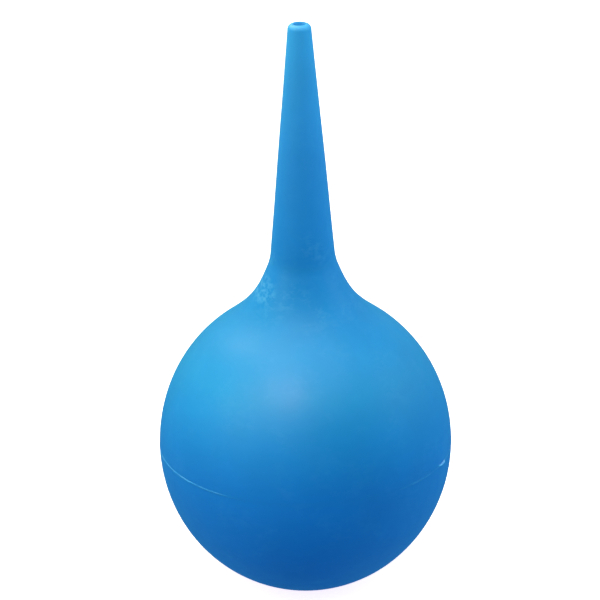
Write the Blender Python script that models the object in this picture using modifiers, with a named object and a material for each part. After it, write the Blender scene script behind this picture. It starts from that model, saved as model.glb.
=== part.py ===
"""Nasal aspirator: a soft squeeze bulb, made in two halves, with a tapered nozzle in its neck.

The lower half stands on a small flat foot. Its rim carries a tongue that laps inside the upper
half, and a thin bead of bonding compound closes the groove round the outside of the seam. The
upper half sweeps up into a flared neck, and the nozzle's spigot is bonded into that neck.

Metres, +Z up the nozzle. The origin is the centre of the foot, on the surface it stands on.
"""

import math

import bpy

# Bulb. The two domes are half ellipses that meet at the seam, where the bulb is widest.
BULB_RADIUS = 0.026                     # outside, at the seam
UPPER_RISE = 0.0275                     # from the seam to where the upper dome would close
LOWER_DROP = 0.02715                    # from the seam to where the lower dome would close
BULB_WALL = 0.0022
FOOT_RADIUS = 0.0095                    # the flat that the bulb stands on
FOOT_THICKNESS = 0.0026

# Neck. Its flare leaves the dome at the shoulder and ends at the neck's rim.
SHOULDER_ANGLE = math.radians(35.0)     # between the Z axis and the shoulder, from the centre
NECK_RISE = 0.0074                      # from where the upper dome would close to the rim
NECK_RADIUS = 0.0057                    # outside, at the rim
NECK_SLOPE = math.radians(20.0)         # how far the flare leans out at the rim
NECK_LIP = 0.0010                       # wall between the rim's outside and the socket
SOCKET_DEPTH = 0.0040
FLARE_REACH = 0.44                      # a handle's length, as a share of the flare's span

# Nozzle.
NOZZLE_LENGTH = 0.0424                  # from the neck's rim to the tip
TIP_RADIUS = 0.00203
TIP_ROUND = 0.0009
TIP_BORE_RADIUS = 0.0010
SPIGOT_LENGTH = 0.0060                  # from the neck's rim down into the bulb
SPIGOT_WALL = 0.0011
SPIGOT_CHAMFER = 0.0004

# Seam.
TONGUE_HEIGHT = 0.0015
TONGUE_WALL = 0.0007
BEAD_RADIUS = 0.00028
BEAD_PROUD = 0.00012                    # how far the bead stands out of the bulb's side
BOND_GAP = 0.0003                       # clearance between bonded faces

# How finely round shapes are drawn.
BULB_STEPS = 64
NOZZLE_STEPS = 48
DOME_POINTS = 10
FLARE_POINTS = 8
BEAD_POINTS = 8
TIP_POINTS = 4
MERGE_DISTANCE = 0.00001
SHARP_ANGLE = math.radians(32.0)

# Heights and radii that follow from the sizes above.
SEAM_HEIGHT = LOWER_DROP * math.sqrt(1.0 - (FOOT_RADIUS / BULB_RADIUS) ** 2)
RIM_HEIGHT = SEAM_HEIGHT + UPPER_RISE + NECK_RISE
TIP_HEIGHT = RIM_HEIGHT + NOZZLE_LENGTH
SOCKET_RADIUS = NECK_RADIUS - NECK_LIP
SPIGOT_RADIUS = SOCKET_RADIUS - BOND_GAP
ROOT_BORE_RADIUS = SPIGOT_RADIUS - SPIGOT_WALL
SKIRT_WALL = BULB_WALL - BOND_GAP - TONGUE_WALL
BEAD_CENTRE = BULB_RADIUS + BEAD_PROUD - BEAD_RADIUS
GROOVE_DEPTH = min(
    math.sqrt(2.0) * (BEAD_RADIUS + BOND_GAP) - BOND_GAP / 2 + BULB_RADIUS - BEAD_CENTRE,
    0.9 * SKIRT_WALL,
)

SOFT_BLUE = (0.020, 0.205, 0.560, 1.0)
NOZZLE_BLUE = (0.026, 0.235, 0.590, 1.0)
SEAM_BLUE = (0.090, 0.330, 0.660, 1.0)


def clear_scene():
    for old in list(bpy.data.objects):
        bpy.data.objects.remove(old, do_unlink=True)


def soft_plastic(name, colour, roughness):
    material = bpy.data.materials.new(name)
    material.use_nodes = True
    shader = material.node_tree.nodes["Principled BSDF"]
    shader.inputs["Base Color"].default_value = colour
    shader.inputs["Roughness"].default_value = roughness
    shader.inputs["Metallic"].default_value = 0.0
    return material


def arc(centre, radius, rise, start, end, count):
    """Points on an elliptical arc, at angles from the Z axis, about a centre (x, z)."""
    points = []
    for step in range(count + 1):
        angle = start + (end - start) * step / count
        points.append((centre[0] + radius * math.sin(angle), centre[1] + rise * math.cos(angle)))
    return points


def flare(rim, slope, shoulder, lean, count):
    """A cubic curve from the neck's rim to the shoulder, tangent to both of its ends."""
    reach = FLARE_REACH * math.dist(rim, shoulder)
    rim_handle = (rim[0] + reach * math.sin(slope), rim[1] - reach * math.cos(slope))
    shoulder_handle = (shoulder[0] - reach * math.cos(lean), shoulder[1] + reach * math.sin(lean))
    corners = (rim, rim_handle, shoulder_handle, shoulder)
    points = []
    for step in range(count):
        t = step / count
        weights = ((1 - t) ** 3, 3 * t * (1 - t) ** 2, 3 * t ** 2 * (1 - t), t ** 3)
        points.append(tuple(sum(w * c[k] for w, c in zip(weights, corners)) for k in (0, 1)))
    return points


def neck_and_dome(radius, rise, rim, lowest):
    """From the neck's rim down the flare and the upper dome, to a height above the seam."""
    centre = (0.0, SEAM_HEIGHT)
    end = math.acos(lowest / rise)
    dome = arc(centre, radius, rise, SHOULDER_ANGLE, end, DOME_POINTS)
    lean = math.atan2(rise * math.sin(SHOULDER_ANGLE), radius * math.cos(SHOULDER_ANGLE))
    return flare(rim, NECK_SLOPE, dome[0], lean, FLARE_POINTS) + dome


def turned(name, profile, steps, material, collection, closed=True):
    """Spins a profile of (radius, height) points about Z. It runs down its outer side."""
    edges = [(k, k + 1) for k in range(len(profile) - 1)]
    if closed:
        edges.append((len(profile) - 1, 0))
    mesh = bpy.data.meshes.new(name)
    mesh.from_pydata([(x, 0.0, z) for x, z in profile], edges, [])
    piece = bpy.data.objects.new(name, mesh)
    collection.objects.link(piece)
    screw = piece.modifiers.new("Turn", "SCREW")
    screw.axis = "Z"
    screw.steps = steps
    screw.render_steps = steps
    screw.use_merge_vertices = True
    screw.merge_threshold = MERGE_DISTANCE
    screw.use_smooth_shade = True
    bpy.context.view_layer.objects.active = piece
    bpy.ops.object.modifier_apply(modifier=screw.name)
    mesh.shade_smooth()
    mesh.set_sharp_from_angle(angle=SHARP_ANGLE)
    mesh.materials.append(material)
    return piece


def lower_half_profile():
    """Inside floor, inner wall, tongue, outer shoulder with half the groove, dome and foot."""
    inner_radius = BULB_RADIUS - BULB_WALL
    inner_drop = LOWER_DROP - BULB_WALL
    inner_floor = FOOT_THICKNESS - SEAM_HEIGHT
    floor_angle = math.acos(inner_floor / inner_drop)
    inside = arc((0.0, SEAM_HEIGHT), inner_radius, inner_drop, floor_angle, math.pi / 2, DOME_POINTS)
    tongue_top = SEAM_HEIGHT + TONGUE_HEIGHT
    tongue_side = inner_radius + TONGUE_WALL
    shoulder = SEAM_HEIGHT - BOND_GAP / 2
    groove_edge = -(GROOVE_DEPTH + BOND_GAP / 2)
    start = math.acos(groove_edge / LOWER_DROP)
    end = math.pi - math.asin(FOOT_RADIUS / BULB_RADIUS)
    outside = arc((0.0, SEAM_HEIGHT), BULB_RADIUS, LOWER_DROP, start, end, DOME_POINTS)
    lap = [
        (inner_radius, tongue_top),
        (tongue_side, tongue_top),
        (tongue_side, shoulder),
        (BULB_RADIUS - GROOVE_DEPTH, shoulder),
    ]
    return [(0.0, FOOT_THICKNESS)] + inside + lap + outside + [(0.0, 0.0)]


def upper_half_profile():
    """Neck, flare, dome, half the groove, the skirt outside the tongue, and the inner wall."""
    rim = (NECK_RADIUS, RIM_HEIGHT)
    groove_edge = GROOVE_DEPTH + BOND_GAP / 2
    outside = neck_and_dome(BULB_RADIUS, UPPER_RISE, rim, groove_edge)
    skirt_side = BULB_RADIUS - SKIRT_WALL
    skirt_end = SEAM_HEIGHT + BOND_GAP / 2
    lap_depth = TONGUE_HEIGHT + BOND_GAP
    socket_end = (SOCKET_RADIUS, RIM_HEIGHT - SOCKET_DEPTH)
    inside = neck_and_dome(BULB_RADIUS - BULB_WALL, UPPER_RISE - BULB_WALL, socket_end, lap_depth)
    skirt = [
        (BULB_RADIUS - GROOVE_DEPTH, skirt_end),
        (skirt_side, skirt_end),
        (skirt_side, SEAM_HEIGHT + lap_depth),
    ]
    return outside + skirt + inside[::-1] + [(SOCKET_RADIUS, RIM_HEIGHT)]


def nozzle_profile():
    """Rounded tip, straight taper, the step that sits on the neck, the spigot and the bore."""
    rounding = min(TIP_ROUND, 0.9 * (TIP_RADIUS - TIP_BORE_RADIUS))
    round_centre = (TIP_RADIUS - rounding, TIP_HEIGHT - rounding)
    tip = arc(round_centre, rounding, rounding, 0.0, math.pi / 2, TIP_POINTS)
    step_height = RIM_HEIGHT + BOND_GAP
    spigot_end = RIM_HEIGHT - SPIGOT_LENGTH
    root = [
        (NECK_RADIUS, step_height),
        (SPIGOT_RADIUS, step_height),
        (SPIGOT_RADIUS, spigot_end + SPIGOT_CHAMFER),
        (SPIGOT_RADIUS - SPIGOT_CHAMFER, spigot_end),
        (ROOT_BORE_RADIUS, spigot_end),
    ]
    return [(TIP_BORE_RADIUS, TIP_HEIGHT)] + tip + root


def bead_profile():
    """A small round section on the seam, run clockwise so that its faces point out."""
    ring = arc((BEAD_CENTRE, SEAM_HEIGHT), BEAD_RADIUS, BEAD_RADIUS, 0.0, math.tau, BEAD_POINTS)
    return ring[:-1]


def build():
    clear_scene()
    collection = bpy.data.collections.new("nasal_aspirator")
    bpy.context.scene.collection.children.link(collection)
    bulb = soft_plastic("bulb_soft_plastic", SOFT_BLUE, 0.38)
    nozzle = soft_plastic("nozzle_soft_plastic", NOZZLE_BLUE, 0.36)
    seam = soft_plastic("seam_bond", SEAM_BLUE, 0.45)
    turned("bulb_lower_half", lower_half_profile(), BULB_STEPS, bulb, collection, closed=False)
    upper = turned("bulb_upper_half", upper_half_profile(), BULB_STEPS, bulb, collection)
    bead = turned("seam_bead", bead_profile(), BULB_STEPS, seam, collection)
    spout = turned("nozzle", nozzle_profile(), NOZZLE_STEPS, nozzle, collection)

    # The squeeze slides the neck and its nozzle down Z, and the bead half as far.
    slides = (("seam_slide", SEAM_HEIGHT, (bead,)), ("neck_slide", RIM_HEIGHT, (upper, spout)))
    for guide_name, height, riders in slides:
        guide = bpy.data.objects.new(guide_name, None)
        guide.location = (0.0, 0.0, height)
        collection.objects.link(guide)
        for rider in riders:
            rider.parent = guide
            rider.location = (0.0, 0.0, -height)


build()
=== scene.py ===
# %% [markdown]
# # A nasal aspirator in soft blue plastic
# The object is a squeeze bulb with a long nozzle, moulded in soft PVC. It has only four pieces: a
# lower half, an upper half with a flared neck, a bonded seam round the widest part, and the
# nozzle. Each is a turned shape, so its profile decides how true it looks, and one satin plastic
# with small flaws decides how real it looks. The CAD frame gives the places of the pieces.

# %% Load the frame
import math

import bpy
from mathutils import Euler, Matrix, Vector, noise


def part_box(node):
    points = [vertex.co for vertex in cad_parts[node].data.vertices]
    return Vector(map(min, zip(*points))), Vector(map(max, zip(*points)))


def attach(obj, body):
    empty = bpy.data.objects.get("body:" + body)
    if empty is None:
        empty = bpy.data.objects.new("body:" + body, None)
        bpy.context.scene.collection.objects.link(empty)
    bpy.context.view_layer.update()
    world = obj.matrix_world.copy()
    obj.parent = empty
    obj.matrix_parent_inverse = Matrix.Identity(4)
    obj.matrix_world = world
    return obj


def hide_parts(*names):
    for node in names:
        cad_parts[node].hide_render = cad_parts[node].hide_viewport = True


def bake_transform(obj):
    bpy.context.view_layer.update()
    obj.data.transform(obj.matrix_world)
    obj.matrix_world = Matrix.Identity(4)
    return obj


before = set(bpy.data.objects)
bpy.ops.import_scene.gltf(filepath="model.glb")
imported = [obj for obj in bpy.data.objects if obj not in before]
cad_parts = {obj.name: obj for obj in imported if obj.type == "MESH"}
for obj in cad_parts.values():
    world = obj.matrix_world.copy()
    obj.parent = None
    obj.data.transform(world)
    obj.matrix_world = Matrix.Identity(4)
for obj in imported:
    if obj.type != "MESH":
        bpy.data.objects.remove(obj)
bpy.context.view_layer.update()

# %% [markdown]
# ## Where things are
# Heights come from the frame: the bead marks the seam, the upper half ends at the neck's rim, and
# the nozzle's top is the tip. A profile is a list of (radius, height) points, and every piece cuts
# its own stretch from the same outline, so neighbouring pieces always meet.

# %% Read the heights and radii
BEAD_PROUD = 0.00012
bead_low, bead_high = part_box("seam_bead")
SEAM_HEIGHT = (bead_low.z + bead_high.z) / 2
BULB_RADIUS = bead_high.x - BEAD_PROUD
RIM_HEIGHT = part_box("bulb_upper_half")[1].z
TIP_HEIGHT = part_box("nozzle")[1].z
NECK_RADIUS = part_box("nozzle")[1].x
print(f"seam {SEAM_HEIGHT:.4f}, rim {RIM_HEIGHT:.4f}, tip {TIP_HEIGHT:.4f}")

# %% [markdown]
# ## The outline
# The bulb isn't a true ball. Soft moulded bulbs are a little taller than they are wide, so both
# domes are half ellipses. Everything else that bends is a Bezier curve: a few corners pull on each
# point, and their pulls change along the curve. A circle and a cone would be quicker, but they
# would meet in a hard corner.

# %% Curves for profiles
UPPER_RISE = 0.0275
LOWER_DROP = 0.02715


def arc(centre_height, radius, rise, start, end, count):
    """Points on an elliptical arc about the axis; angles are from straight up."""
    angles = [start + (end - start) * step / count for step in range(count + 1)]
    return [(radius * math.sin(a), centre_height + rise * math.cos(a)) for a in angles]


def pulled(corners, pulls):
    """The point that the corners make together, each by its own pull."""
    return tuple(sum(pull * corner[k] for pull, corner in zip(pulls, corners)) for k in (0, 1))


def cubic(corners, count):
    """Points on a cubic Bezier curve with four corners, without its last point."""
    points = []
    for step in range(count):
        t = step / count
        pulls = ((1 - t) ** 3, 3 * t * (1 - t) ** 2, 3 * t * t * (1 - t), t ** 3)
        points.append(pulled(corners, pulls))
    return points


print("domes rise", 1000 * UPPER_RISE, "mm and drop", 1000 * LOWER_DROP, "mm from the seam")

# %% [markdown]
# ## The corner under the nozzle
# The straight nozzle and the flare meet at a faint corner. It is eased over a millimetre or so,
# above and below. The nozzle ends and the neck begins on the middle point of that easing, so their
# surfaces leave it in the same direction and no line shows between them, as on the real one.

# %% The eased corner at the rim
NECK_SLOPE = math.radians(20.0)
EASE = 0.0013
TIP_RADIUS = 0.00203
TIP_ROUND = 0.0009
TAPER = (NECK_RADIUS - TIP_RADIUS) / (TIP_HEIGHT - TIP_ROUND - RIM_HEIGHT)
ease_top = (NECK_RADIUS - EASE * TAPER, RIM_HEIGHT + EASE)
ease_end = (NECK_RADIUS + EASE * math.tan(NECK_SLOPE), RIM_HEIGHT - EASE)


def eased(start, end, count=4):
    """Points on the eased corner from t = start to t = end."""
    corners = (ease_top, (NECK_RADIUS, RIM_HEIGHT), ease_end)
    points = []
    for step in range(count + 1):
        t = start + (end - start) * step / count
        points.append(pulled(corners, ((1 - t) ** 2, 2 * t * (1 - t), t * t)))
    return points


print("joint at radius", round(1000 * eased(0.5, 1.0)[0][0], 3), "mm")

# %% [markdown]
# ## The flare
# Below the corner the neck sweeps out into the dome like the foot of a trumpet. It could be pushed
# into shape by hand, but one cubic curve does it with four corners: the rim, the shoulder, and a
# handle at each. The handles lie along the neck's slope and along the dome, so the flare leaves
# both of them without a kink. The inside of the wall is made by the same helper.

# %% The flare
SHOULDER_ANGLE = math.radians(35.0)
FLARE_REACH = 0.44


def flare_and_dome(radius, rise, rim, last_angle, flare_count, dome_count):
    """The neck's flare and the upper dome, from the rim downwards."""
    dome = arc(SEAM_HEIGHT, radius, rise, SHOULDER_ANGLE, last_angle, dome_count)
    lean = math.atan2(rise * math.sin(SHOULDER_ANGLE), radius * math.cos(SHOULDER_ANGLE))
    reach = FLARE_REACH * math.dist(rim, dome[0])
    rim_handle = (rim[0] + reach * math.sin(NECK_SLOPE), rim[1] - reach * math.cos(NECK_SLOPE))
    dome_handle = (dome[0][0] - reach * math.cos(lean), dome[0][1] + reach * math.sin(lean))
    return cubic((rim, rim_handle, dome_handle, dome[0]), flare_count) + dome


shoulder_radius = BULB_RADIUS * math.sin(SHOULDER_ANGLE)
print("the flare meets the dome at radius", round(1000 * shoulder_radius, 2), "mm")

# %% [markdown]
# ## The hand of the mould
# A soft moulding is never perfectly round. A slow, shallow wave of about a twentieth of a
# millimetre bends its reflections the way a real wall does, where a bump in the material wouldn't
# change the outline. The wave depends only on the place in space, so two pieces that touch are
# bent alike and stay joined.

# %% The wave in the wall
WAVE_LENGTH = 0.017
WAVE_HEIGHT = 0.00005
QUICK_WAVE_LENGTH = 0.4 * WAVE_LENGTH
QUICK_WAVE_SHARE = 0.35
ANOTHER_PLACE = Vector((7.0, 3.0, 5.0))


def mould_wave(point):
    """How far a soft wall stands in or out at a place on it."""
    slow = noise.noise(point / WAVE_LENGTH)
    quick = noise.noise(point / QUICK_WAVE_LENGTH + ANOTHER_PLACE)
    return WAVE_HEIGHT * (slow + QUICK_WAVE_SHARE * quick)


front_of_seam = Vector((0.0, -BULB_RADIUS, SEAM_HEIGHT))
print("wave at the front of the seam:", round(1000 * mould_wave(front_of_seam), 4), "mm")

# %% [markdown]
# ## Turning a profile
# Blender's Screw modifier spins a profile about the Z axis, like a lathe. The profile runs down
# its outer side, so the faces point out. The result is applied, because the wave then moves single
# points. Edges that turn by more than 35 degrees are marked sharp, or smooth shading would darken
# the surface beside every cut face.

# %% The lathe
ROUND_STEPS = 144
MERGE_DISTANCE = 0.00001
SHARP_ANGLE = math.radians(35.0)


def turn(name, profile, closed=True, steps=ROUND_STEPS, wavy=True):
    """A turned piece, with its faces pointing out and the mould's wave in its wall."""
    edges = [(k, k + 1) for k in range(len(profile) - 1)]
    if closed:
        edges.append((len(profile) - 1, 0))
    mesh = bpy.data.meshes.new(name)
    mesh.from_pydata([(x, 0.0, z) for x, z in profile], edges, [])
    piece = bpy.data.objects.new(name, mesh)
    bpy.context.collection.objects.link(piece)
    lathe = piece.modifiers.new("lathe", "SCREW")
    lathe.axis = "Z"
    lathe.steps = steps
    lathe.render_steps = steps
    lathe.use_merge_vertices = True
    lathe.merge_threshold = MERGE_DISTANCE
    bpy.context.view_layer.objects.active = piece
    bpy.ops.object.modifier_apply(modifier=lathe.name)
    if wavy:
        for vertex in mesh.vertices:
            out = Vector((vertex.co.x, vertex.co.y, 0.0))
            if out.length > MERGE_DISTANCE:
                vertex.co += out.normalized() * mould_wave(vertex.co)
    mesh.shade_smooth()
    mesh.set_sharp_from_angle(angle=SHARP_ANGLE)
    print(f"{name}: {len(mesh.vertices)} points, {len(mesh.polygons)} faces")
    return piece


print("a turn has", ROUND_STEPS, "steps")

# %% [markdown]
# ## The upper half
# The real upper half is one wall about two millimetres thick: neck, flare, dome and a skirt that
# laps over the lower half. A closed wall is used, not a bare surface, so that light passes through
# a real thickness. Its rim ends where the nozzle's step begins.

# %% The wall and its joints
WALL = 0.0022
NECK_LIP = 0.0010
SOCKET_RADIUS = NECK_RADIUS - NECK_LIP
SOCKET_DEPTH = 0.0040
TONGUE_WALL = 0.0007
LAP_HEIGHT = 0.0016
HAIRLINE = 0.00003
print("wall", 1000 * WALL, "mm, lap", 1000 * LAP_HEIGHT, "mm high")

# %% [markdown]
# The outside is drawn finely, because its outline is seen. The inside only shades the light that
# comes through the wall, so a few points are enough there.

# %% Make the upper half
FLARE_POINTS = 60
DOME_POINTS = 56
FLARE_POINTS_INSIDE = 12
DOME_POINTS_INSIDE = 20


def upper_half_outside():
    """The eased corner, the flare below it and the dome, down to the seam."""
    rim = (NECK_RADIUS, RIM_HEIGHT)
    outline = flare_and_dome(BULB_RADIUS, UPPER_RISE, rim, math.pi / 2, FLARE_POINTS, DOME_POINTS)
    below_the_corner = [point for point in outline if point[1] < ease_end[1] - HAIRLINE]
    return eased(0.5, 1.0) + below_the_corner


def upper_half_inside():
    """The inner wall, from the socket's end down to the lap."""
    radius = BULB_RADIUS - WALL
    rise = UPPER_RISE - WALL
    socket_end = (SOCKET_RADIUS, RIM_HEIGHT - SOCKET_DEPTH)
    last_angle = math.acos(LAP_HEIGHT / rise)
    counts = (FLARE_POINTS_INSIDE, DOME_POINTS_INSIDE)
    return flare_and_dome(radius, rise, socket_end, last_angle, *counts)


def upper_half_profile():
    skirt_inside = BULB_RADIUS - WALL + TONGUE_WALL + HAIRLINE
    skirt = [(skirt_inside, SEAM_HEIGHT), (skirt_inside, SEAM_HEIGHT + LAP_HEIGHT)]
    return upper_half_outside() + skirt + upper_half_inside()[::-1] + [(SOCKET_RADIUS, RIM_HEIGHT)]


upper_skin = turn("bulb_upper_skin", upper_half_profile())

# %% [markdown]
# ## The lower half
# The lower half is a cup with a flat foot. The foot's edge is rolled over with a small radius, as
# a mould would leave it, so it doesn't catch the light like a cut edge. A Bevel modifier could
# round it too, but it would also round the joint, so the roll is a short curve in the profile.

# %% Make the lower half
FOOT_RADIUS = 0.0095
FOOT_ROLL = 0.0012
FOOT_THICKNESS = 0.0026
ROLL_POINTS = 8


def lower_half_inside():
    """The cup's floor, its inner wall, and the tongue that laps inside the upper half."""
    radius = BULB_RADIUS - WALL
    drop = LOWER_DROP - WALL
    floor_angle = math.acos((FOOT_THICKNESS - SEAM_HEIGHT) / drop)
    wall = arc(SEAM_HEIGHT, radius, drop, floor_angle, math.pi / 2, DOME_POINTS_INSIDE)
    tongue_top = SEAM_HEIGHT + LAP_HEIGHT - HAIRLINE
    tongue_outside = radius + TONGUE_WALL
    tongue = [(radius, tongue_top), (tongue_outside, tongue_top), (tongue_outside, SEAM_HEIGHT)]
    return [(0.0, FOOT_THICKNESS)] + wall + tongue


def lower_half_outside():
    """The dome below the seam, the rolled edge of the foot, and the sole."""
    roll_angle = math.pi - math.asin((FOOT_RADIUS + FOOT_ROLL) / BULB_RADIUS)
    dome = arc(SEAM_HEIGHT, BULB_RADIUS, LOWER_DROP, math.pi / 2, roll_angle, DOME_POINTS)
    foot_edge = (FOOT_RADIUS, 0.0)
    sole_edge = (FOOT_RADIUS - FOOT_ROLL, 0.0)
    roll = cubic((dome[-1], foot_edge, foot_edge, sole_edge), ROLL_POINTS)[1:]
    return dome + roll + [sole_edge, (0.5 * FOOT_RADIUS, 0.0), (0.0, 0.0)]


lower_skin = turn("bulb_lower_skin", lower_half_inside() + lower_half_outside(), closed=False)

# %% [markdown]
# ## The nozzle
# A straight taper with a rounded, open tip. The spigot goes down into the neck. The bore is real,
# all the way through, because the tip is seen from above and the hole shows in it. A dark disc on
# top would be cheaper, but it would look painted on as soon as the light comes from the side.

# %% Make the nozzle
TIP_BORE = 0.0010
BORE_ROUND = 0.00025
SPIGOT_WALL = 0.0011
SPIGOT_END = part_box("nozzle")[0].z
LIP_POINTS = 12
TAPER_POINTS = 40
THROAT_POINTS = 30


def straight(start, end, count):
    """Points from start to end, without the first one."""
    points = []
    for step in range(1, count + 1):
        points.append(tuple(a + (b - a) * step / count for a, b in zip(start, end)))
    return points


def nozzle_profile():
    """The tip's lip, the taper, half the eased corner, the spigot and the bore."""
    lip = arc(TIP_HEIGHT - TIP_ROUND, TIP_ROUND, TIP_ROUND, 0.0, math.pi / 2, LIP_POINTS)
    lip = [(TIP_RADIUS - TIP_ROUND + x, z) for x, z in lip]
    taper = straight(lip[-1], ease_top, TAPER_POINTS)
    spigot_radius = SOCKET_RADIUS - HAIRLINE
    root_bore = spigot_radius - SPIGOT_WALL
    spigot = [(spigot_radius, RIM_HEIGHT), (spigot_radius, SPIGOT_END), (root_bore, SPIGOT_END)]
    throat = straight(spigot[-1], (TIP_BORE, TIP_HEIGHT - BORE_ROUND), THROAT_POINTS)
    return lip + taper + eased(0.0, 0.5)[1:] + spigot + throat


nozzle = turn("nozzle_tube", nozzle_profile())

# %% [markdown]
# ## The knife's work
# Bonding squeezes out a thin flash round the widest part, and a knife trims it. The knife leaves it
# proud at the sides and takes it down flush at the front, and it misses one small lump. Noise alone
# couldn't say that, so a short list gives how much is left, going round, and noise only nicks it.

# %% How much flash is left
NICK_DEPTH = 0.35
NICKS_PER_METRE = 700.0
LEFT_BY_THE_KNIFE = (
    (-180, 0.5),
    (-130, 0.6),
    (-88, 0.45),
    (-72, 0.75),
    (-52, 0.8),
    (-40, 0.55),
    (-22, 0.1),
    (20, 0.0),
    (36, 0.12),
    (44, 0.40),
    (51, 0.40),
    (57, 0.25),
    (63, 0.25),
    # This lump also carries the seam's painted glint.
    (65, 2.3),
    (67.5, 2.3),
    (70, 0.3),
    (90, 0.45),
    (130, 0.4),
    (180, 0.5),
)


def flash_left(point):
    """How much of the flash is left at a place, 1 being the usual; 0 degrees is the front."""
    round_the_bulb = math.degrees(math.atan2(point.x, -point.y))
    for (start, low), (end, high) in zip(LEFT_BY_THE_KNIFE, LEFT_BY_THE_KNIFE[1:]):
        if start <= round_the_bulb <= end:
            share = low + (high - low) * (round_the_bulb - start) / (end - start)
    nick = NICK_DEPTH * noise.noise(point * NICKS_PER_METRE)
    return share * (1.0 + nick)


most_left = max(amount for _, amount in LEFT_BY_THE_KNIFE)
print("the lump is", most_left, "times the usual flash")

# %% [markdown]
# ## The seam
# A torus would look like a cable, so the flash is a low, narrow ridge. It is turned with four times
# the usual steps, because its changes are short. Each point keeps the amount that is left there,
# because the seam's colour will need the same number.

# %% Make the seam bead
BEAD_HALF_WIDTH = 0.00015
BEAD_POINTS = 16
FLUSH_DEPTH = 0.00003
FLASH_AMOUNT = "flash_amount"


def bead_profile():
    ring = arc(SEAM_HEIGHT, BEAD_PROUD, BEAD_HALF_WIDTH, 0.0, math.tau, BEAD_POINTS)
    return [(BULB_RADIUS + x, z) for x, z in ring[:-1]]


seam = turn("seam_flash", bead_profile(), steps=4 * ROUND_STEPS, wavy=False)
amount = seam.data.attributes.new(FLASH_AMOUNT, "FLOAT", "POINT")
for vertex, item in zip(seam.data.vertices, amount.data):
    flat = Vector((vertex.co.x, vertex.co.y, 0.0))
    out = flat.normalized()
    proud = max(0.0, flat.length - BULB_RADIUS)
    item.value = flash_left(vertex.co)
    trimmed = (1.0 - item.value) * (proud + FLUSH_DEPTH)
    skin = out * BULB_RADIUS + Vector((0.0, 0.0, vertex.co.z))
    vertex.co += out * (mould_wave(skin) - trimmed)
print("trimmed the seam at", len(seam.data.vertices), "points")

# %% [markdown]
# ## Soft blue plastic
# Plasticised PVC is satin, slightly see-through and never one flat blue. A picture wrapped round
# the bulb could carry its flaws, but it would blur close up and pinch at the foot. Patterns made by
# nodes stay sharp at any distance. A small class keeps a material's nodes together. Its patterns
# are laid out by a stored copy of each point's place at rest.

# %% A recipe for a material
MADE_AT = "made_at"


class Recipe:
    """A material's nodes, added one at a time."""

    def __init__(self, name):
        self.material = bpy.data.materials.new(name)
        self.material.use_nodes = True
        self.nodes = self.material.node_tree.nodes
        self.links = self.material.node_tree.links
        self.shader = self.nodes["Principled BSDF"]
        self.place = self.add("ShaderNodeAttribute", attribute_name=MADE_AT).outputs["Vector"]

    def add(self, kind, **settings):
        node = self.nodes.new(kind)
        for key, value in settings.items():
            setattr(node, key, value)
        return node

    def join(self, source, target):
        self.links.new(source, target)


print("patterns are laid out by", MADE_AT)

# %% [markdown]
# ## Three kinds of helper
# Noise gives a soft random pattern of a chosen size. A Map Range node turns a number into another
# one and holds it between two limits, which is how a slow pattern becomes a mark with an edge. The
# place at rest, split into its three numbers, says where on the object a pattern may show.

# %% Noise, ranges and places
def grain(recipe, scale, detail, roughness, stretch=(1.0, 1.0, 1.0)):
    """Noise with features about 1/scale metres across; detail adds finer ones to them."""
    mapping = recipe.add("ShaderNodeMapping")
    mapping.inputs["Scale"].default_value = stretch
    recipe.join(recipe.place, mapping.inputs["Vector"])
    texture = recipe.add("ShaderNodeTexNoise")
    texture.inputs["Scale"].default_value = scale
    texture.inputs["Detail"].default_value = detail
    texture.inputs["Roughness"].default_value = roughness
    recipe.join(mapping.outputs["Vector"], texture.inputs["Vector"])
    return texture.outputs["Fac"]


def span(recipe, source, low, high, to_low=0.0, to_high=1.0):
    """Maps a number from one range to another, clamped."""
    node = recipe.add("ShaderNodeMapRange")
    node.inputs["From Min"].default_value = low
    node.inputs["From Max"].default_value = high
    node.inputs["To Min"].default_value = to_low
    node.inputs["To Max"].default_value = to_high
    recipe.join(source, node.inputs["Value"])
    return node.outputs["Result"]


def place_parts(recipe):
    """The place at rest: to the right, away from the front, and above the foot."""
    split = recipe.add("ShaderNodeSeparateXYZ")
    recipe.join(recipe.place, split.inputs["Vector"])
    return split.outputs


print("helpers:", ", ".join(helper.__name__ for helper in (grain, span, place_parts)))

# %% [markdown]
# ## The blue, with painted shade and light
# The colour is deeper low on the bulb, which is painted shade, and lighter over the top of the
# dome, which is painted light. It is paler towards the tip, partly because a thin wall lets more
# light through than a thick one and partly as painted light. The lamps alone never quite manage
# that shading. A Color Ramp holds a blue for each of nine heights, and a slow noise clouds it by a
# few hundredths, as dye does that isn't perfectly stirred.

# %% A blue, with painted shade and light, for each height
BLUE_AND_PAINTED_SHADE_AT_HEIGHT = (
    (0.000, (0.003, 0.140, 0.560)),
    (0.010, (0.003, 0.160, 0.600)),
    (0.026, (0.006, 0.192, 0.605)),
    (0.042, (0.010, 0.280, 0.610)),
    (0.053, (0.003, 0.265, 0.640)),
    (0.061, (0.018, 0.255, 0.660)),
    (0.080, (0.040, 0.295, 0.715)),
    (0.094, (0.060, 0.370, 0.790)),
    (0.103, (0.070, 0.420, 0.830)),
)


def ramp(recipe, source, stops):
    """A colour ramp; stops are (position, colour) pairs."""
    node = recipe.add("ShaderNodeValToRGB")
    while len(node.color_ramp.elements) < len(stops):
        node.color_ramp.elements.new(1.0)
    for element, (position, colour) in zip(node.color_ramp.elements, stops):
        element.position = position
        element.color = (*colour, 1.0)
    recipe.join(source, node.inputs["Fac"])
    return node.outputs["Color"]


print("blues at", len(BLUE_AND_PAINTED_SHADE_AT_HEIGHT), "heights")

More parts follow.
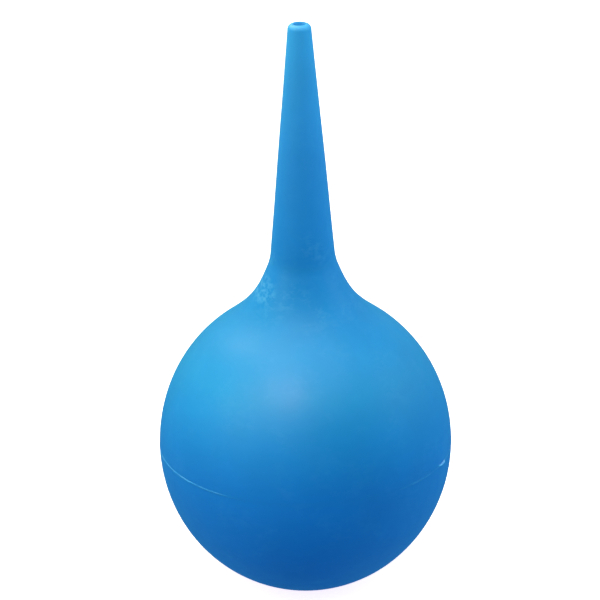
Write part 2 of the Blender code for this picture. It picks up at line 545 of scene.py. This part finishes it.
# %% [markdown]
# The ramp only knows numbers from 0 to 1, so the height is first divided by the object's own. Noise
# mostly keeps between 0.3 and 0.7, and that stretch of it becomes the cloudiness.

# %% The body colour
CLOUDS_PER_METRE = 70.0
CLOUDINESS = 0.05
NOISE_LOW = 0.3
NOISE_HIGH = 0.7


def blue_with_painted_shade(recipe):
    """The blue for a height, with its painted shade and light, and a slow cloudiness."""
    top = BLUE_AND_PAINTED_SHADE_AT_HEIGHT[-1][0]
    height = span(recipe, place_parts(recipe)["Z"], 0.0, top)
    body = ramp(recipe, height, [(level / top, colour) for level, colour in BLUE_AND_PAINTED_SHADE_AT_HEIGHT])
    cloud = grain(recipe, CLOUDS_PER_METRE, detail=3.0, roughness=0.55)
    cloud = span(recipe, cloud, NOISE_LOW, NOISE_HIGH, 1.0 - CLOUDINESS, 1.0 + CLOUDINESS)
    tone = recipe.add("ShaderNodeVectorMath", operation="SCALE")
    recipe.join(body, tone.inputs["Vector"])
    recipe.join(cloud, tone.inputs["Scale"])
    return tone.outputs["Vector"]


print("clouds about", round(1000 / CLOUDS_PER_METRE), "mm across")

# %% [markdown]
# ## Scuffs
# Soft plastic picks up pale scuffs where it is held and pulled from the mould. The real one has a
# rubbed patch on the left of the flare, fainter marks round the foot of the nozzle, and next to
# nothing elsewhere. A noise that is cut off high gives the marks, a second one breaks them into
# patches, and the place at rest says how strong they may be. Multiplying two masks keeps what both
# of them allow.

# %% The faint marks
PATCHES_PER_METRE = 190.0
PATCH_STARTS = 0.50
PATCH_FULL = 0.62
BETWEEN_PATCHES = 0.15
MARKS_BELOW = 0.05
MARKS_AT_RIM = 0.25
MARKS_KEPT_ABOVE = 0.2


def both(recipe, first, second):
    node = recipe.add("ShaderNodeMath", operation="MULTIPLY")
    recipe.join(first, node.inputs[0])
    recipe.join(second, node.inputs[1])
    return node.outputs["Value"]


def faint_marks(recipe, fine, height):
    """Marks in patches, most of them a few millimetres round the rim."""
    patches = grain(recipe, PATCHES_PER_METRE, detail=1.0, roughness=0.5)
    patches = span(recipe, patches, PATCH_STARTS, PATCH_FULL, BETWEEN_PATCHES, 1.0)
    below, at_rim = RIM_HEIGHT - 0.010, RIM_HEIGHT - 0.003
    near_rim = span(recipe, height, below, at_rim, MARKS_BELOW, MARKS_AT_RIM)
    over_rim, above = RIM_HEIGHT + 0.003, RIM_HEIGHT + 0.007
    not_above = span(recipe, height, over_rim, above, 1.0, MARKS_KEPT_ABOVE)
    return both(recipe, both(recipe, fine, patches), both(recipe, near_rim, not_above))


print("faint marks round", round(1000 * RIM_HEIGHT, 1), "mm up")

# %% [markdown]
# The rubbed patch is a place of its own, bounded by a side and a height. Its edges fade over a
# millimetre or two, and the same fine noise fills it. The larger of the two kinds of mark wins
# where they overlap, so that they never add up to a bare white spot.

# %% The rubbed patch
RUBBED_SIDE = -0.0055
RUBBED_HEIGHT = RIM_HEIGHT - 0.004
RUBBED_STRENGTH = 0.8
SCUFFS_PER_METRE = 900.0
SCUFF_STRETCH = (0.8, 0.8, 1.3)
SCUFF_STARTS = 0.44
SCUFF_FULL = 0.62


def larger(recipe, first, second):
    node = recipe.add("ShaderNodeMath", operation="MAXIMUM")
    recipe.join(first, node.inputs[0])
    recipe.join(second, node.inputs[1])
    return node.outputs["Value"]


def rubbed_patch(recipe, fine, side, height):
    """The patch on the left of the flare."""
    to_the_left = span(recipe, side, RUBBED_SIDE + 0.0012, RUBBED_SIDE - 0.0008)
    foot, full = RUBBED_HEIGHT - 0.0035, RUBBED_HEIGHT - 0.001
    below = span(recipe, height, foot, full, 0.0, RUBBED_STRENGTH)
    above = span(recipe, height, RUBBED_HEIGHT, RUBBED_HEIGHT + 0.003, 1.0, 0.0)
    return both(recipe, both(recipe, fine, to_the_left), both(recipe, below, above))


def scuffs(recipe):
    """How rubbed the skin is, from 0 to 1."""
    fine = grain(recipe, SCUFFS_PER_METRE, detail=4.0, roughness=0.65, stretch=SCUFF_STRETCH)
    fine = span(recipe, fine, SCUFF_STARTS, SCUFF_FULL)
    side, _, height = place_parts(recipe)
    faint = faint_marks(recipe, fine, height)
    return larger(recipe, faint, rubbed_patch(recipe, fine, side, height))


print("rubbed patch at", round(1000 * RUBBED_HEIGHT, 1), "mm up")

# %% [markdown]
# ## The finish
# Two bumps sit on top of each other: a shallow orange-peel about a millimetre across, and a fine
# grain from the mould's blasted steel. Real dents that small would need millions of faces, and a
# Bump node bends the light as if they were there.

# %% The bumps
PEEL_HEIGHT = 0.00003
PEELS_PER_METRE = 900.0
BLAST_HEIGHT = 0.00001
BLASTS_PER_METRE = 5200.0
BUMP_STRENGTH = 0.30


def bump(recipe, pattern, height):
    """A Bump node that stands a pattern's bright places out by a height in metres."""
    node = recipe.add("ShaderNodeBump")
    node.inputs["Strength"].default_value = BUMP_STRENGTH
    node.inputs["Distance"].default_value = height
    recipe.join(pattern, node.inputs["Height"])
    return node


def two_bumps(recipe, peel_height):
    """The fine grain on top of the orange-peel."""
    peel = grain(recipe, PEELS_PER_METRE, detail=2.0, roughness=0.5)
    peel = bump(recipe, peel, peel_height)
    blast = grain(recipe, BLASTS_PER_METRE, detail=2.0, roughness=0.6)
    blast = bump(recipe, blast, BLAST_HEIGHT)
    recipe.join(peel.outputs["Normal"], blast.inputs["Normal"])
    return blast.outputs["Normal"]


print("orange-peel", 1000 * PEEL_HEIGHT, "mm high, grain", 1000 * BLAST_HEIGHT, "mm")

# %% [markdown]
# ## Gloss and scatter
# The roughness drifts a little from place to place, so that a highlight never ends on a perfectly
# even edge. Light that scatters inside the wall (Subsurface) softens the small shapes, and the blue
# goes furthest, as it does in blue plastic. A glass-like Transmission would show the inside, which
# this plastic is too cloudy for.

# %% Gloss and scatter
DRIFTS_PER_METRE = 160.0
SHINIER = 0.04
DULLER = 0.05
PLASTIC_IOR = 1.46
SCATTER_SHARE = 0.20
SCATTER_COLOURS = (0.25, 0.6, 1.0)
SCATTER_DEPTH = 0.0012


def finish(recipe, roughness, peel_height=PEEL_HEIGHT):
    """Roughness, bumps and scattering for a soft moulded plastic."""
    shader = recipe.shader
    drift = grain(recipe, DRIFTS_PER_METRE, detail=4.0, roughness=0.6)
    drift = span(recipe, drift, NOISE_LOW, NOISE_HIGH, roughness - SHINIER, roughness + DULLER)
    recipe.join(drift, shader.inputs["Roughness"])
    recipe.join(two_bumps(recipe, peel_height), shader.inputs["Normal"])
    shader.inputs["IOR"].default_value = PLASTIC_IOR
    shader.inputs["Subsurface Weight"].default_value = SCATTER_SHARE
    shader.inputs["Subsurface Radius"].default_value = SCATTER_COLOURS
    shader.inputs["Subsurface Scale"].default_value = SCATTER_DEPTH
    return recipe.material


print("light goes", 1000 * SCATTER_DEPTH, "mm into the wall")

# %% [markdown]
# ## The bulb's and the nozzle's plastic
# The bulb and the nozzle come out of one pot of plastic, so they share one material. The blue goes
# in first, and the scuffs mix a pale, chalky blue over it. A scuff could also be made rougher than
# the skin round it, but on a satin surface this small only its paleness shows.

# %% Mix the soft blue plastic
SCUFF_COLOUR = (0.14, 0.46, 0.78)
SKIN_ROUGHNESS = 0.46


def mix(recipe, factor, first, second):
    """Goes from the first colour to the second as factor goes from 0 to 1."""
    node = recipe.add("ShaderNodeMix", data_type="RGBA")
    recipe.join(factor, node.inputs["Factor"])
    for value, socket in ((first, node.inputs[6]), (second, node.inputs[7])):
        if isinstance(value, tuple):
            socket.default_value = (*value, 1.0)
        else:
            recipe.join(value, socket)
    return node.outputs[2]


def soft_plastic():
    recipe = Recipe("soft_blue_pvc")
    # The blue here carries the ramp's painted shade and light.
    skin = mix(recipe, scuffs(recipe), blue_with_painted_shade(recipe), SCUFF_COLOUR)
    recipe.join(skin, recipe.shader.inputs["Base Color"])
    return finish(recipe, SKIN_ROUGHNESS)


plastic = soft_plastic()
print("plastic:", len(plastic.node_tree.nodes), "nodes")

# %% [markdown]
# ## The seam's finish
# The bonding compound is the same plastic with less dye, and the knife leaves it a little shiny.
# Its paleness is partly that dye and partly a painted highlight, the light that the low ridge
# would catch. Its tone comes and goes along its length, so the line is never drawn with one pen.
# Where the knife took more off, what is left is thinner and shows the blue below it, and its
# painted highlight fades; where a lump was left, it is palest, which is a painted glint. The
# bead's points carry that amount, so shape and colour always agree.

# %% Mix the seam's plastic
PALE_SEAM_AND_SHEEN = (0.070, 0.370, 0.780)
DYED_SEAM = (0.018, 0.250, 0.640)
LUMP_PAINTED_GLINT = (0.190, 0.480, 0.920)
TONES_PER_METRE = 420.0
TONE_STARTS = 0.35
TONE_FULL = 0.65
BARELY_LEFT = 0.15
WELL_LEFT = 0.85
LUMP_STARTS = 1.2
LUMP_FULL = 1.8
SEAM_ROUGHNESS = 0.36
SEAM_PEEL_HEIGHT = 0.00001


def stored(recipe, name):
    """A number that a piece's points carry."""
    return recipe.add("ShaderNodeAttribute", attribute_name=name).outputs["Fac"]


def seam_plastic():
    recipe = Recipe("bond_with_painted_sheen")
    along = grain(recipe, TONES_PER_METRE, detail=3.0, roughness=0.6)
    along = span(recipe, along, TONE_STARTS, TONE_FULL)
    # The pale blue is partly less dye and partly a painted highlight along the ridge.
    bonded = mix(recipe, along, PALE_SEAM_AND_SHEEN, DYED_SEAM)
    thickness = span(recipe, stored(recipe, FLASH_AMOUNT), BARELY_LEFT, WELL_LEFT)
    faded = mix(recipe, thickness, blue_with_painted_shade(recipe), bonded)
    # The lump's near-white blue is a painted glint, the light the proud lump would catch.
    lump = span(recipe, stored(recipe, FLASH_AMOUNT), LUMP_STARTS, LUMP_FULL)
    recipe.join(mix(recipe, lump, faded, LUMP_PAINTED_GLINT), recipe.shader.inputs["Base Color"])
    return finish(recipe, SEAM_ROUGHNESS, SEAM_PEEL_HEIGHT)


bond = seam_plastic()
print("bond:", len(bond.node_tree.nodes), "nodes")

# %% [markdown]
# ## Dress the pieces
# The patterns are laid out by a stored copy of each point's place at rest. If they used the place
# in space, they would swim over the skin while the bulb is squeezed.

# %% Dress the pieces
def remember_place(piece):
    """Keeps each point's place at rest, so that patterns stay put when the bulb is squeezed."""
    layer = piece.data.attributes.new(MADE_AT, "FLOAT_VECTOR", "POINT")
    for vertex, item in zip(piece.data.vertices, layer.data):
        item.vector = vertex.co


for piece, dress in ((upper_skin, plastic), (lower_skin, plastic), (nozzle, plastic), (seam, bond)):
    remember_place(piece)
    piece.data.materials.append(dress)
    print(piece.name, "wears", dress.name)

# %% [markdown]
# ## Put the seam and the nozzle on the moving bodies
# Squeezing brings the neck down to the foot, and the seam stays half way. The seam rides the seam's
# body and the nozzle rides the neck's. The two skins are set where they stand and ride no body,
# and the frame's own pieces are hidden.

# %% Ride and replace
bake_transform(upper_skin)
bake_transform(lower_skin)
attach(seam, "seam")
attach(nozzle, "neck")
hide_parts("bulb_upper_half")
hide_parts("bulb_lower_half")
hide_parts("seam_bead")
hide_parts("nozzle")

# %% [markdown]
# ## The floor
# A sheet of white paper. It glows by itself, which is a common trick for a clean white ground, and
# it throws no light back up, so the underside of the bulb keeps its deep blue. It still catches a
# faint shadow, so that the bulb stands on it and doesn't float. The room's light is bluish, so the
# paper's own glow is a little warm, and the two add up to white.

# %% Lay the floor
scene = bpy.context.scene
scene.view_settings.view_transform = "Standard"
scene.view_settings.look = "None"
FLOOR_SIZE = 6.0
FLOOR_DROP = 0.0001
PAPER_COLOUR = (0.8, 0.8, 0.8, 1.0)
PAPER_GLOW = (0.93, 0.80, 0.76, 1.0)
bpy.ops.mesh.primitive_plane_add(size=FLOOR_SIZE, location=(0.0, 0.0, -FLOOR_DROP))
floor = bpy.context.active_object
floor.name = "studio_floor"
paper = bpy.data.materials.new("white_paper")
paper.use_nodes = True
paper_shader = paper.node_tree.nodes["Principled BSDF"]
paper_shader.inputs["Base Color"].default_value = PAPER_COLOUR
paper_shader.inputs["Roughness"].default_value = 1.0
paper_shader.inputs["Specular IOR Level"].default_value = 0.0
paper_shader.inputs["Emission Color"].default_value = PAPER_GLOW
paper_shader.inputs["Emission Strength"].default_value = 1.0
floor.data.materials.append(paper)
floor.visible_diffuse = False
floor.visible_glossy = False
floor.visible_transmission = False
floor.visible_shadow = False
print("floor:", FLOOR_SIZE, "m across")

# %% [markdown]
# ## The soft boxes
# Satin plastic shows its lights as broad, soft patches, so the lights decide half of the look. A
# bare lamp would leave a hard spot. Four boxes do the work: a big one overhead, one high on each
# side, and one behind on the left that draws a thin light edge on the shoulders. Their tints are
# warm and greenish, against the bluish air.

# %% Hang the soft boxes
bulb_centre = (0.0, 0.0, SEAM_HEIGHT)
# Each box: its name, its place and size in metres, its watts, and its tint.
SOFT_BOXES = (
    ("overhead_box", (0.0, -0.12, 0.52), (0.60, 0.60), 2.15, (0.94, 1.0, 0.86)),
    ("left_box", (-0.42, -0.20, 0.32), (0.35, 0.35), 0.70, (0.8, 0.95, 0.55)),
    ("back_left_box", (-0.20, 0.25, 0.45), (0.30, 0.25), 1.5, (1.0, 0.95, 0.60)),
    ("right_box", (0.45, 0.0, 0.30), (0.35, 0.35), 0.6, (0.55, 0.80, 0.75)),
)


def aim_lamp(name, light, place, target):
    """Hangs a lamp at a place and points it at a target."""
    lamp = bpy.data.objects.new(name, light)
    bpy.context.collection.objects.link(lamp)
    lamp.location = place
    lamp.rotation_mode = "QUATERNION"
    lamp.rotation_quaternion = (Vector(target) - Vector(place)).to_track_quat("-Z", "Y")
    lamp.visible_camera = False
    print(f"{name}: {light.energy:.2f} W")
    return lamp


for name, place, size, watts, tint in SOFT_BOXES:
    light = bpy.data.lights.new(name, "AREA")
    light.shape = "RECTANGLE"
    light.size, light.size_y = size
    light.energy = watts
    light.color = tint
    aim_lamp(name, light, place, bulb_centre)

# %% [markdown]
# ## The beam
# One bright, soft-edged patch lies on the left shoulder. A box small enough to make it would also
# light everything round it. A Spot lamp with its edge blended all the way in makes a patch of a
# chosen width, and its pale rose tint turns blue plastic a little greyer, as a strong light does.

# %% Aim the soft beam
BEAM_REACH = 0.5
BEAM_HALF_WIDTH = 0.021
BEAM_SOURCE = 0.006
BEAM_WATTS = 5.0
BEAM_TINT = (1.0, 0.57, 0.51)
BEAM_TARGET = (-0.012, -0.021, 0.0335)
BEAM_TURN_LEFT = math.radians(20)
BEAM_HEIGHT_ANGLE = math.radians(57)
light = bpy.data.lights.new("shoulder_beam", "SPOT")
light.energy = BEAM_WATTS
light.color = BEAM_TINT
light.spot_size = 2 * math.atan(BEAM_HALF_WIDTH / BEAM_REACH)
light.spot_blend = 1.0
light.shadow_soft_size = BEAM_SOURCE
flat = math.cos(BEAM_HEIGHT_ANGLE)
leftwards = -math.sin(BEAM_TURN_LEFT) * flat
frontwards = -math.cos(BEAM_TURN_LEFT) * flat
away = Vector((leftwards, frontwards, math.sin(BEAM_HEIGHT_ANGLE)))
aim_lamp("shoulder_beam", light, Vector(BEAM_TARGET) + BEAM_REACH * away, BEAM_TARGET)

# %% [markdown]
# ## The air around
# The world stands for a room with two pale walls, left and right, and a dim floor. The walls give
# the thin lighter rims on both sides. One even grey would be simpler, but it would light the bulb
# like fog. The direction of each ray says how bright the air is there, by a few sums.

# %% How bright the room is
WALL_GLOW = 0.74
GROUND_GLOW = 0.26
AIR_GLOW = 0.125
world = bpy.data.worlds.new("studio_air")
scene.world = world
world.use_nodes = True
air = world.node_tree.nodes
air_links = world.node_tree.links
room = air["Background"]


def air_math(operation, *values):
    """One Math node in the world; its inputs are numbers or other nodes' outputs."""
    node = air.new("ShaderNodeMath")
    node.operation = operation
    for socket, value in zip(node.inputs, values):
        if isinstance(value, float):
            socket.default_value = value
        else:
            air_links.new(value, socket)
    return node.outputs["Value"]


direction = air.new("ShaderNodeSeparateXYZ")
air_links.new(air.new("ShaderNodeTexCoord").outputs["Generated"], direction.inputs["Vector"])
sideways = air_math("ABSOLUTE", direction.outputs["X"])
walls = air_math("MULTIPLY_ADD", sideways, WALL_GLOW, AIR_GLOW)
downwards = air_math("MAXIMUM", air_math("MULTIPLY", direction.outputs["Z"], -1.0), 0.0)
air_links.new(air_math("MULTIPLY_ADD", downwards, GROUND_GLOW, walls), room.inputs["Strength"])
print("the walls glow", WALL_GLOW, "and the air", AIR_GLOW)

# %% [markdown]
# ## The tint of the air
# The light is bluish, except from high behind, where the white backdrop hangs: its reflection gives
# the shoulders a greyer edge. The same direction that set the brightness chooses between the two
# colours.

# %% How the room is tinted
BLUE_AIR = (0.16, 0.78, 1.0, 1.0)
WHITE_AIR = (1.0, 0.78, 0.95, 1.0)
BACKDROP_EDGE = 2.0
BACKDROP_AT_SEAM = 0.4
behind = air_math("MAXIMUM", direction.outputs["Y"], 0.0)
upwards = air_math("MULTIPLY_ADD", direction.outputs["Z"], BACKDROP_EDGE, BACKDROP_AT_SEAM)
upwards = air_math("MINIMUM", air_math("MAXIMUM", upwards, 0.0), 1.0)
two_airs = air.new("ShaderNodeMix")
two_airs.data_type = "RGBA"
two_airs.inputs[6].default_value = BLUE_AIR
two_airs.inputs[7].default_value = WHITE_AIR
air_links.new(air_math("MULTIPLY", behind, upwards), two_airs.inputs["Factor"])
air_links.new(two_airs.outputs[2], room.inputs["Color"])
print("the air goes from", BLUE_AIR[:3], "to", WHITE_AIR[:3])

# %% [markdown]
# ## The backdrop
# The camera sees plain white behind the bulb. A big white sheet would do it too, but it would also
# light the object, so a Light Path node tells what the camera sees apart from what falls on it.

# %% What the camera sees behind
backdrop = air.new("ShaderNodeBackground")
backdrop.inputs["Color"].default_value = (1.0, 1.0, 1.0, 1.0)
chooser = air.new("ShaderNodeMixShader")
air_links.new(air.new("ShaderNodeLightPath").outputs["Is Camera Ray"], chooser.inputs["Fac"])
air_links.new(room.outputs["Background"], chooser.inputs[1])
air_links.new(backdrop.outputs["Background"], chooser.inputs[2])
air_links.new(chooser.outputs["Shader"], air["World Output"].inputs["Surface"])
print("world:", len(air), "nodes")

# %% [markdown]
# ## The camera
# A long lens from half a metre, 26 degrees above the seam: from closer, the tip would look too
# thick for the bulb. The camera is rolled clockwise about its own line of sight by less than a
# degree, so that the nozzle leans a little to the left.

# %% Set up the camera
CAMERA_DISTANCE = 0.50
CAMERA_HEIGHT_ANGLE = math.radians(25.6)
CAMERA_ROLL = math.radians(0.87)
LENS = 167.8
AIM_LEFT = 0.0006
AIM_ABOVE_SEAM = 0.0270
camera_data = bpy.data.cameras.new("camera")
camera_data.sensor_width = 36.0
camera_data.lens = LENS
camera_data.clip_start = 0.01
camera = bpy.data.objects.new("camera", camera_data)
bpy.context.collection.objects.link(camera)
back = Vector((0.0, -math.cos(CAMERA_HEIGHT_ANGLE), math.sin(CAMERA_HEIGHT_ANGLE)))
camera.location = Vector(bulb_centre) + CAMERA_DISTANCE * back
aim = Vector((-AIM_LEFT, 0.0, SEAM_HEIGHT + AIM_ABOVE_SEAM))
level = (aim - camera.location).to_track_quat("-Z", "Y")
camera.rotation_mode = "QUATERNION"
camera.rotation_quaternion = level @ Euler((0.0, 0.0, -CAMERA_ROLL)).to_quaternion()
scene.camera = camera
print("camera at", [round(side, 3) for side in camera.location])
